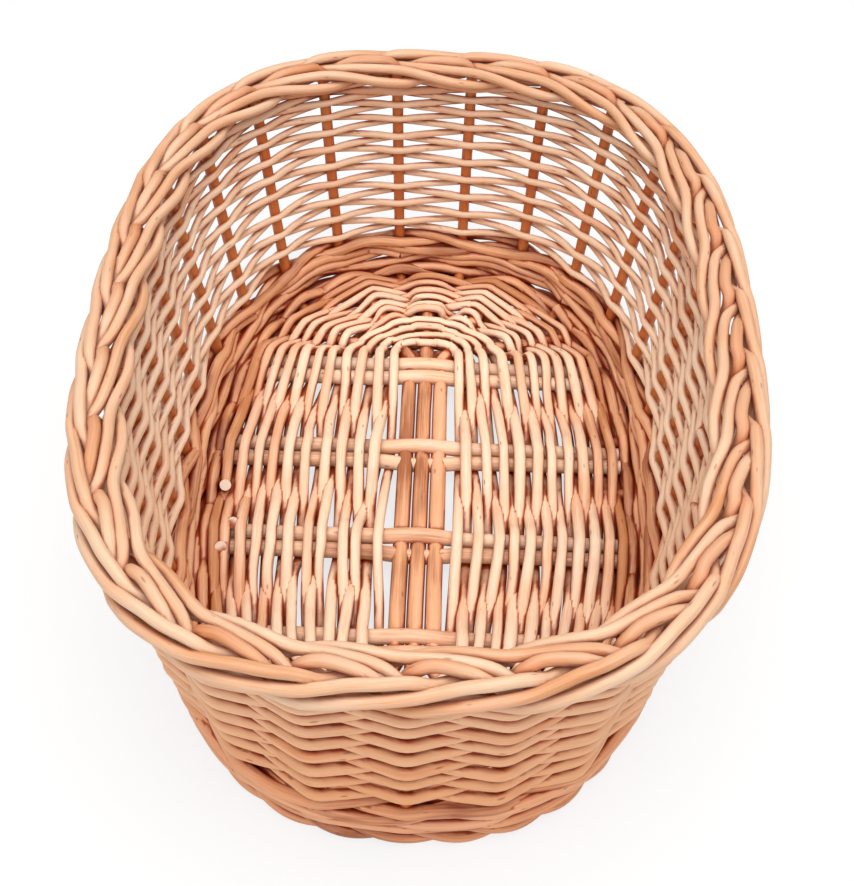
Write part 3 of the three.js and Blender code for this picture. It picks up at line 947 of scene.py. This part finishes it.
# Upsett. Rows of two opposite strands of amber rod pass outside two stakes and inside the next two,
# each row a stake later than the one below. Two edge rods bind the base's rim to the stakes' bends,
# and the cut butts of three rods stand up inside on the left.
UPSETT_ROD = 5.6
UPSETT_TAPER = 0.4
UPSETT_TONES = (0.1, 0.7)
UPSETT_PITCH = 4.3
UPSETT_BOTTOM = 19.0
UPSETT_REACH = 4.0
CROSSING_RISE = 2.0
FIRST_STAKE = 11
ROW_START_STEP = 3
LOW_ROW_INSET = 1.4
LOW_ROW_DROP = 1.0
EDGE_ROD_OFFSET = -8.9
EDGE_ROD_RISE = 5.2
EDGE_ROD_TAPER = 0.3
EDGE_ROD_TONES = (0.5, 0.7)
CUT_BUTTS = [(-97.5, -1.5), (-95.0, -40.0), (-91.0, -25.0)]
CUT_BUTT = 5.8
CUT_BUTT_TOP = 20.0
CUT_BUTT_TONE = 0.3
POINTS_PER_STAKE = 4

# A cut butt's points from its root to its cut end, measured from that end
CUT_BUTT_SLOPE = [
    (-4.0, 7.0, -11.0),
    (-1.2, 3.4, -4.6),
    (0.0, 0.0, 0.0),
]


def woven_line(first, last, side_at, height_at, reach_at):
    """The middle line of a rod that bends round the stakes, with points at and between them."""
    steps = np.arange((last - first) * POINTS_PER_STAKE + 1) / POINTS_PER_STAKE + first
    before = np.floor(steps).astype(int)
    part = steps - before
    left = np.array([side_at(stake) for stake in before])
    right = np.array([side_at(stake + 1) for stake in before])
    offset = reach_at(steps) * (left * (1 - part) + right * part)
    return wall_points(steps / STAKE_COUNT, height_at(steps), offset)


def upsett_strand(first, row, strand):
    """One strand of a row, which rises and falls against the other where they cross."""
    rise = CROSSING_RISE * (1 - 2 * strand)

    def side_at(stake):
        return 1 if ((stake + row + 2 * strand) // 2) % 2 == 0 else -1

    def height_at(steps):
        return UPSETT_BOTTOM + row * UPSETT_PITCH + rise * np.cos(np.pi * (steps + row - 1.5))

    line = woven_line(first, first + STAKE_COUNT, side_at, height_at, lambda steps: UPSETT_REACH)
    if row < 0:
        line[:, :2] *= 1 - LOW_ROW_INSET / WALL_FOOT[0]
        line[:, 2] -= LOW_ROW_DROP
    return rod(
        line, UPSETT_ROD + UPSETT_TAPER, UPSETT_ROD, tone=random.uniform(*UPSETT_TONES),
        cut_start=False, cut_end=False, shade=front_shade(line),
    )


def edge_rod(first, phase):
    """A rod that passes over the base's rim at one stake and under it at the next."""
    steps = np.arange(STAKE_COUNT * 2 + 1) / 2 + first
    line = wall_points(steps / STAKE_COUNT, BASE_HEIGHT, EDGE_ROD_OFFSET)
    line[:, 2] += EDGE_ROD_RISE * np.cos(np.pi * (steps + phase))
    return rod(
        line, UPSETT_ROD + EDGE_ROD_TAPER, UPSETT_ROD, tone=random.uniform(*EDGE_ROD_TONES),
        cut_start=False, cut_end=False,
    )


def cut_butt(x, y):
    """The thick end of a rod, cut off where it comes up beside the wall."""
    points = np.array((x, y, CUT_BUTT_TOP)) + CUT_BUTT_SLOPE
    return rod(points, CUT_BUTT, tone=CUT_BUTT_TONE, cut_start=False)


for index in range(4):
    first = FIRST_STAKE + ROW_START_STEP * index
    rows = (-1, 0) if index == 0 else (index,)
    rods = [upsett_strand(first, row, strand) for row in rows for strand in (0, 1)]
    if index < 2:
        rods.append(edge_rod(first, index))
    if index == 2:
        rods += [cut_butt(x, y) for x, y in CUT_BUTTS]
    piece = make_rods(
        f"upsett_{index + 1}", rods, foot_finish, sides=12, step=2.4, waver=0.7, waver_length=35.0,
    )
    fit_in(piece, "foot_and_upsett", f"upsett_rod_{index + 1}")


# Side weave. One long spiral of thin rods passes outside one stake and inside the next. Its rows
# stand apart low down, where light shows through, and are beaten close under the border.
SIDE_REACH = 3.5
FRONT_REACH = 1.7
SIDE_BOTTOM = 36.2
SIDE_TOP = 134.0
OPEN_PITCH = 6.2
BEATEN_PITCH = 3.2
SIDE_BUTTS = (4.4, 4.9)
SIDE_TIPS = (3.7, 4.2)
SIDE_ROD_STAKES = (20, 30)
SHORTEST_ROD = 10
BEND_STRENGTHS = (0.75, 1.05)
HEIGHT_DRIFT = 0.45
SIDE_TONES = (-0.42, 0.06)
TOP_WARMTH = 0.2
FRONT_THICKENING = 0.8
BACK_THINNING = 0.6
FRONT_SHADE_LOW = 0.792
FRONT_SHADE_FALL = 0.33
BACK_SHADE = 0.2
SIDE_NODES = 8

side_finish = willow("peach_weaver_willow", PALE_CREAM, PEACH, AMBER, crevice_shade_full_at=0.62)

rounds = (SIDE_TOP - SIDE_BOTTOM) / (OPEN_PITCH - (OPEN_PITCH - BEATEN_PITCH) / 3)
last_stake = int(rounds * STAKE_COUNT)


def frontness(stake):
    """1 at the middle of the front, 0 at the sides and -1 at the middle of the back."""
    return np.cos(2 * np.pi * stake / STAKE_COUNT)


def hidden_stake(stake):
    """This stake or the next: the one that hides a rod's end, inside at the front, outside behind."""
    at_front = frontness(stake) > 0
    return stake + int(stake % 2 != at_front)


def side_height(steps):
    """How high the spiral is at a stake. Its pitch shrinks with the square of the rounds done."""
    done = steps / STAKE_COUNT
    return SIDE_BOTTOM + OPEN_PITCH * done - (OPEN_PITCH - BEATEN_PITCH) * done ** 3 / (3 * rounds ** 2)


def side_reach(steps):
    return SIDE_REACH + FRONT_REACH * np.clip(frontness(steps), 0, 1)


def side_rod(start, end):
    """One rod of the side weave, from one stake to another."""
    strengths = random.uniform(*BEND_STRENGTHS, end - start + 2)

    def side_at(stake):
        return (1 if stake % 2 == 0 else -1) * strengths[stake - start]

    line = woven_line(start, end, side_at, side_height, side_reach)
    steps = np.linspace(start, end, len(line))
    drift = random.normal(0.0, HEIGHT_DRIFT, end - start + 1)
    line[:, 2] += np.interp(steps, np.arange(start, end + 1), drift)
    tone = random.uniform(*SIDE_TONES) + TOP_WARMTH * (start / last_stake) ** 2
    weaver = rod(
        line, random.uniform(*SIDE_BUTTS), random.uniform(*SIDE_TIPS),
        tone=tone, cut_start=False, cut_end=False,
    )
    to_front = frontness(steps)
    weaver["diameter"] += FRONT_THICKENING * np.clip(to_front, -BACK_THINNING, 1)
    # Painted shade: the wall is darker and warmer at the front, most of all low down, a little at the
    # back, and not at the sides
    front_depth = FRONT_SHADE_LOW - FRONT_SHADE_FALL * start / last_stake
    weaver["shade"] = np.where(to_front > 0, front_depth, BACK_SHADE) * np.abs(to_front)
    return weaver


for index in range(SIDE_NODES):
    start = hidden_stake(round(index * last_stake / SIDE_NODES))
    last = hidden_stake(round((index + 1) * last_stake / SIDE_NODES))
    rods = []
    while start < last:
        length = int(random.integers(*SIDE_ROD_STAKES))
        end = last if last - start - length < SHORTEST_ROD else hidden_stake(start + length)
        rods.append(side_rod(start, end))
        start = end
    piece = make_rods(
        f"side_weave_{index + 1}", rods, side_finish,
        sides=10, step=2.5, waver=0.5, waver_length=40.0, swell=0.2,
    )
    fit_in(piece, "side_weavers", f"side_weaver_{index + 1}")


# Crevices. Painted shade: where rods lie close together, shade falls between them. Each point of a
# rod stores how much of its outlook other rods shut off, and the finishes paint that as a deep
# red-brown shade.
CREVICE_REACH = 11.0
CREVICE_TILT = 0.9
CREVICE_LIMIT = 0.6
SKIN = 0.25
SLANTING = (0.31, 0.17, 0.93)


def crevices(piece, others):
    """Stores how much rods close by shut off five looks outwards, for the painted shade between rods. A
    nearer rod counts for more.
    """
    mesh = piece.data
    normals = vertex_vectors(mesh, "normal")
    starts = vertex_vectors(mesh, "co") + normals * SKIN * MM
    side = np.cross(normals, SLANTING)
    side /= np.linalg.norm(side, axis=1, keepdims=True)
    across = np.cross(normals, side)
    looks = [normals] + [normals + CREVICE_TILT * turn for turn in (side, -side, across, -across)]
    shut = np.zeros(len(starts))
    reach = CREVICE_REACH * MM
    for look in looks:
        look = look / np.linalg.norm(look, axis=1, keepdims=True)
        for i, (start, direction) in enumerate(zip(starts, look)):
            distance = others.ray_cast(start, direction, reach)[3]
            if distance is not None:
                shut[i] += 1 - distance / reach
    shares = np.minimum(shut / len(looks), CREVICE_LIMIT)
    attribute = mesh.attributes.new("crevice", "FLOAT", "POINT")
    attribute.data.foreach_set("value", shares.astype(np.float32))


points = []
faces = []
for piece in pieces:
    first = len(points)
    points.extend(vertex_vectors(piece.data, "co").tolist())
    faces.extend([first + vertex for vertex in face.vertices] for face in piece.data.polygons)
all_rods = BVHTree.FromPolygons(points, faces)
for piece in pieces:
    crevices(piece, all_rods)


# Studio. A plain pale floor that fades into a white surround, one large soft lamp overhead and a
# weaker one from the front.
FLOOR_HALF_SIZE = 3.0
FLOOR_GREY = (0.86, 0.86, 0.86, 1.0)
WHITE = (1.0, 1.0, 1.0, 1.0)
SHADOW_REACH = 1.0
SHADOW_WHITENESS = 0.75
SURROUND_LIGHT = 0.38

# Each lamp's name, place, aim, size and power
LAMPS = [
    ("overhead_lamp", (0.08, -0.15, 1.5), (0, 0, 0.05), 1.9, 29.0),
    ("front_lamp", (-0.3, -1.3, 1.1), (0, 0, 0.08), 0.9, 5.5),
]

floor_finish = Finish("studio_floor")
camera_ray = floor_finish.node("ShaderNodeLightPath", {}, {}, "Is Camera Ray")
lit = floor_finish.node("ShaderNodeBsdfDiffuse", {}, {"Color": FLOOR_GREY})
white = floor_finish.node("ShaderNodeEmission", {}, {"Color": WHITE, "Strength": 1.0})
place = floor_finish.node("ShaderNodeTexCoord", {}, {}, "Object")
distance = floor_finish.node("ShaderNodeVectorMath", {"operation": "LENGTH"}, {0: place}, "Value")
fade = floor_finish.between(distance, SHADOW_REACH / 2, SHADOW_REACH, SHADOW_WHITENESS, 1.0)
seen = floor_finish.node("ShaderNodeMixShader", {}, {0: camera_ray * fade, 1: lit, 2: white})
floor_finish.output(seen)

floor_mesh = bpy.data.meshes.new("studio_floor")
floor_signs = [(-1, -1), (1, -1), (1, 1), (-1, 1)]
floor_points = [(x * FLOOR_HALF_SIZE, y * FLOOR_HALF_SIZE, 0) for x, y in floor_signs]
floor_mesh.from_pydata(floor_points, [], [(0, 1, 2, 3)])
floor_mesh.materials.append(floor_finish.material)
floor = bpy.data.objects.new("studio_floor", floor_mesh)
bpy.context.scene.collection.objects.link(floor)

world = bpy.data.worlds.new("studio")
bpy.context.scene.world = world
world.use_nodes = True
background = world.node_tree.nodes["Background"]
path = world.node_tree.nodes.new("ShaderNodeLightPath")
strength = world.node_tree.nodes.new("ShaderNodeMath")
strength.operation = "MULTIPLY_ADD"
strength.inputs[1].default_value = 1 - SURROUND_LIGHT
strength.inputs[2].default_value = SURROUND_LIGHT
world.node_tree.links.new(path.outputs["Is Camera Ray"], strength.inputs[0])
world.node_tree.links.new(strength.outputs[0], background.inputs["Strength"])
background.inputs["Color"].default_value = WHITE

for name, place, aim, size, power in LAMPS:
    lamp_data = bpy.data.lights.new(name, "AREA")
    lamp_data.shape = "DISK"
    lamp_data.size = size
    lamp_data.energy = power
    lamp = bpy.data.objects.new(name, lamp_data)
    bpy.context.scene.collection.objects.link(lamp)
    turn = (Vector(aim) - Vector(place)).to_track_quat("-Z", "Y").to_matrix().to_4x4()
    lamp.matrix_world = Matrix.Translation(place) @ turn

bpy.context.scene.view_settings.view_transform = "Standard"
